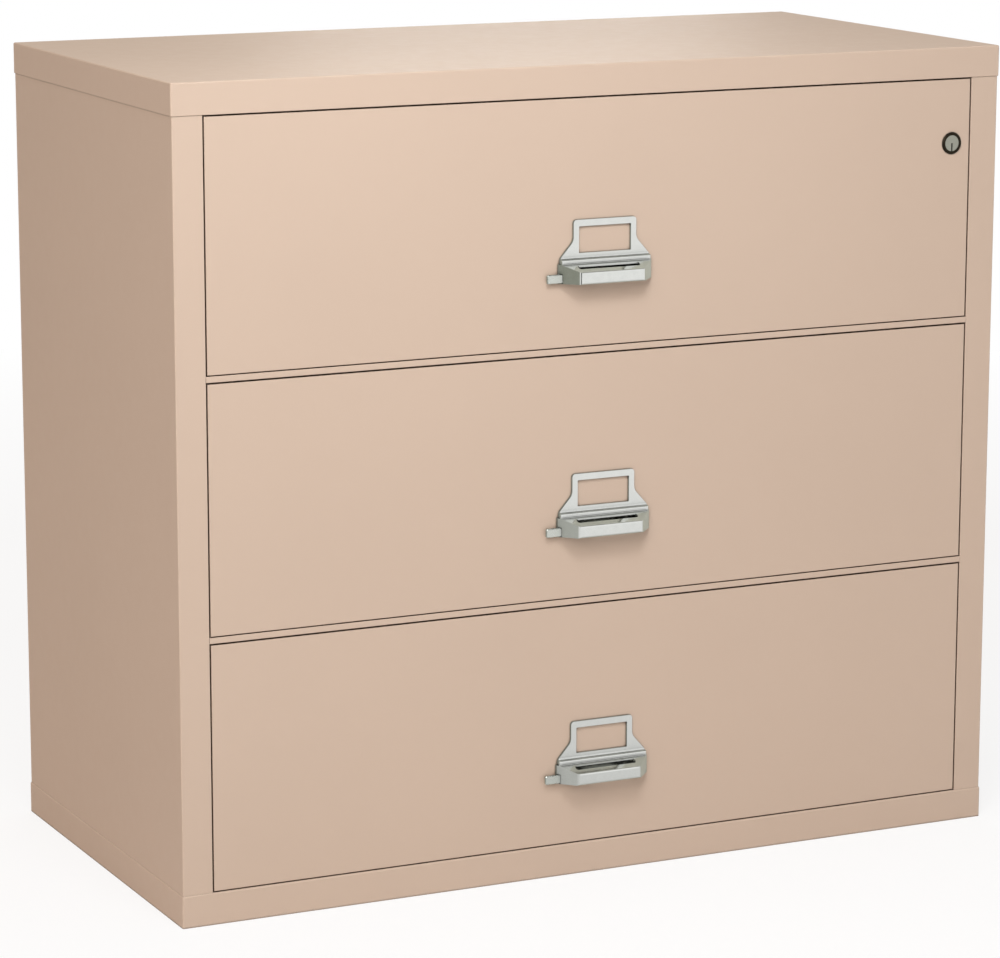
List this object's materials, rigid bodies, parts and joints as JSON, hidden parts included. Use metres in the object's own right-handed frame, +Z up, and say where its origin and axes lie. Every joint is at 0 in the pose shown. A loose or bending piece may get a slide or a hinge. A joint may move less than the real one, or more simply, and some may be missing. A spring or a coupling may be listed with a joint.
{
  "type": "lateral fireproof filing cabinet",
  "caption": "Wide, low steel filing cabinet with insulated walls and full-width drawers that roll out on telescopic slides, chrome pulls with thumb latches, and a key lock.",
  "frame": {"origin": "on the floor, under the middle of the whole outline, pulls included", "axes": "+X to the right of a person facing the drawers, +Y to the back, +Z up"},
  "size_m": [1.1304, 0.5868, 1.0223],
  "materials": {
    "case_paint": "satin",
    "front_paint": "satin",
    "lining_paint": "satin",
    "tray_paint": "satin",
    "bare_steel": "satin",
    "zinc_steel": "satin",
    "cage_plastic": "matte",
    "insulation": "matte",
    "handle_chrome": "polished",
    "latch_metal": "satin",
    "lock_bronze": "satin",
    "lock_core": "satin"
  },
  "bodies": {
    "cabinet": {"outer_wrap": "case_paint", "top_cover": "case_paint", "base_frame": "case_paint", "bottom_pan": "bare_steel", "cross_rails": "case_paint", "side_insulation": "insulation", "back_insulation": "insulation", "top_insulation": "insulation", "floor_insulation": "insulation", "divider_insulation": "insulation", "lock_channel": "bare_steel", "liner_1": "lining_paint", "slide_outer_1": "zinc_steel", "liner_2": "lining_paint", "slide_outer_2": "zinc_steel", "liner_3": "lining_paint", "slide_outer_3": "zinc_steel"},
    "drawer_1": {"head_pan_1": "front_paint", "head_plug_1": "lining_paint", "head_core_1": "insulation", "tray_1": "tray_paint", "folder_rails_1": "bare_steel", "slide_inner_1": "zinc_steel", "handle_1": "handle_chrome", "latch_spring_1": "bare_steel", "lock_housing": "lock_bronze"},
    "mid_slide_1": {"slide_mid_1": "zinc_steel"},
    "outer_cages_1": {"cage_outer_1": "cage_plastic"},
    "inner_cages_1": {"cage_inner_1": "cage_plastic"},
    "latch_1": {"thumb_latch_1": "latch_metal"},
    "bolt_1": {"latch_bolt_1": "bare_steel"},
    "drawer_2": {"head_pan_2": "front_paint", "head_plug_2": "lining_paint", "head_core_2": "insulation", "tray_2": "tray_paint", "folder_rails_2": "bare_steel", "slide_inner_2": "zinc_steel", "handle_2": "handle_chrome", "latch_spring_2": "bare_steel"},
    "mid_slide_2": {"slide_mid_2": "zinc_steel"},
    "outer_cages_2": {"cage_outer_2": "cage_plastic"},
    "inner_cages_2": {"cage_inner_2": "cage_plastic"},
    "latch_2": {"thumb_latch_2": "latch_metal"},
    "bolt_2": {"latch_bolt_2": "bare_steel"},
    "drawer_3": {"head_pan_3": "front_paint", "head_plug_3": "lining_paint", "head_core_3": "insulation", "tray_3": "tray_paint", "folder_rails_3": "bare_steel", "slide_inner_3": "zinc_steel", "handle_3": "handle_chrome", "latch_spring_3": "bare_steel"},
    "mid_slide_3": {"slide_mid_3": "zinc_steel"},
    "outer_cages_3": {"cage_outer_3": "cage_plastic"},
    "inner_cages_3": {"cage_inner_3": "cage_plastic"},
    "latch_3": {"thumb_latch_3": "latch_metal"},
    "bolt_3": {"latch_bolt_3": "bare_steel"},
    "lock": {"lock_plug": "lock_core", "lock_tail": "bare_steel"},
    "lock_bar_body": {"lock_bar": "bare_steel"}
  },
  "joints": [
    {"name": "drawer_1_slide", "type": "slide", "parent": "cabinet", "child": "drawer_1", "axis": [0, -1, 0], "range_m": [0, 0.38]},
    {"name": "slide_mid_1_travel", "type": "slide", "parent": "cabinet", "child": "mid_slide_1", "axis": [0, -1, 0], "range_m": [0, 0.19]},
    {"name": "cage_outer_1_travel", "type": "slide", "parent": "cabinet", "child": "outer_cages_1", "axis": [0, -1, 0], "range_m": [0, 0.095]},
    {"name": "cage_inner_1_travel", "type": "slide", "parent": "cabinet", "child": "inner_cages_1", "axis": [0, -1, 0], "range_m": [0, 0.285]},
    {"name": "thumb_latch_1_push", "type": "slide", "parent": "drawer_1", "child": "latch_1", "axis": [1, 0, 0], "range_m": [-0.003, 0.006], "stiffness_N_per_m": 300, "deforming": ["latch_spring_1"]},
    {"name": "latch_bolt_1_lift", "type": "slide", "parent": "drawer_1", "child": "bolt_1", "axis": [0, 0, 1], "range_m": [-0.003, 0.006]},
    {"name": "drawer_2_slide", "type": "slide", "parent": "cabinet", "child": "drawer_2", "axis": [0, -1, 0], "range_m": [0, 0.38]},
    {"name": "slide_mid_2_travel", "type": "slide", "parent": "cabinet", "child": "mid_slide_2", "axis": [0, -1, 0], "range_m": [0, 0.19]},
    {"name": "cage_outer_2_travel", "type": "slide", "parent": "cabinet", "child": "outer_cages_2", "axis": [0, -1, 0], "range_m": [0, 0.095]},
    {"name": "cage_inner_2_travel", "type": "slide", "parent": "cabinet", "child": "inner_cages_2", "axis": [0, -1, 0], "range_m": [0, 0.285]},
    {"name": "thumb_latch_2_push", "type": "slide", "parent": "drawer_2", "child": "latch_2", "axis": [1, 0, 0], "range_m": [-0.003, 0.006], "stiffness_N_per_m": 300, "deforming": ["latch_spring_2"]},
    {"name": "latch_bolt_2_lift", "type": "slide", "parent": "drawer_2", "child": "bolt_2", "axis": [0, 0, 1], "range_m": [-0.003, 0.006]},
    {"name": "drawer_3_slide", "type": "slide", "parent": "cabinet", "child": "drawer_3", "axis": [0, -1, 0], "range_m": [0, 0.38]},
    {"name": "slide_mid_3_travel", "type": "slide", "parent": "cabinet", "child": "mid_slide_3", "axis": [0, -1, 0], "range_m": [0, 0.19]},
    {"name": "cage_outer_3_travel", "type": "slide", "parent": "cabinet", "child": "outer_cages_3", "axis": [0, -1, 0], "range_m": [0, 0.095]},
    {"name": "cage_inner_3_travel", "type": "slide", "parent": "cabinet", "child": "inner_cages_3", "axis": [0, -1, 0], "range_m": [0, 0.285]},
    {"name": "thumb_latch_3_push", "type": "slide", "parent": "drawer_3", "child": "latch_3", "axis": [1, 0, 0], "range_m": [-0.003, 0.006], "stiffness_N_per_m": 300, "deforming": ["latch_spring_3"]},
    {"name": "latch_bolt_3_lift", "type": "slide", "parent": "drawer_3", "child": "bolt_3", "axis": [0, 0, 1], "range_m": [-0.003, 0.006]},
    {"name": "lock_turn", "type": "hinge", "parent": "drawer_1", "child": "lock", "pos_m": [0.4971, -0.2674, 0.89995], "axis": [0, -1, 0], "range_deg": [0, 90]},
    {"name": "lock_bar_lift", "type": "slide", "parent": "cabinet", "child": "lock_bar_body", "axis": [0, 0, 1], "range_m": [0, 0.009]}
  ],
  "couplings": [
    {"joint": "slide_mid_1_travel", "follows": "drawer_1_slide", "ratio": 0.5},
    {"joint": "cage_outer_1_travel", "follows": "drawer_1_slide", "ratio": 0.25},
    {"joint": "cage_inner_1_travel", "follows": "drawer_1_slide", "ratio": 0.75},
    {"joint": "latch_bolt_1_lift", "follows": "thumb_latch_1_push", "ratio": 1},
    {"joint": "slide_mid_2_travel", "follows": "drawer_2_slide", "ratio": 0.5},
    {"joint": "cage_outer_2_travel", "follows": "drawer_2_slide", "ratio": 0.25},
    {"joint": "cage_inner_2_travel", "follows": "drawer_2_slide", "ratio": 0.75},
    {"joint": "latch_bolt_2_lift", "follows": "thumb_latch_2_push", "ratio": 1},
    {"joint": "slide_mid_3_travel", "follows": "drawer_3_slide", "ratio": 0.5},
    {"joint": "cage_outer_3_travel", "follows": "drawer_3_slide", "ratio": 0.25},
    {"joint": "cage_inner_3_travel", "follows": "drawer_3_slide", "ratio": 0.75},
    {"joint": "latch_bolt_3_lift", "follows": "thumb_latch_3_push", "ratio": 1},
    {"joint": "lock_turn", "follows": "lock_bar_lift", "rad_per_m": 174.53}
  ]
}
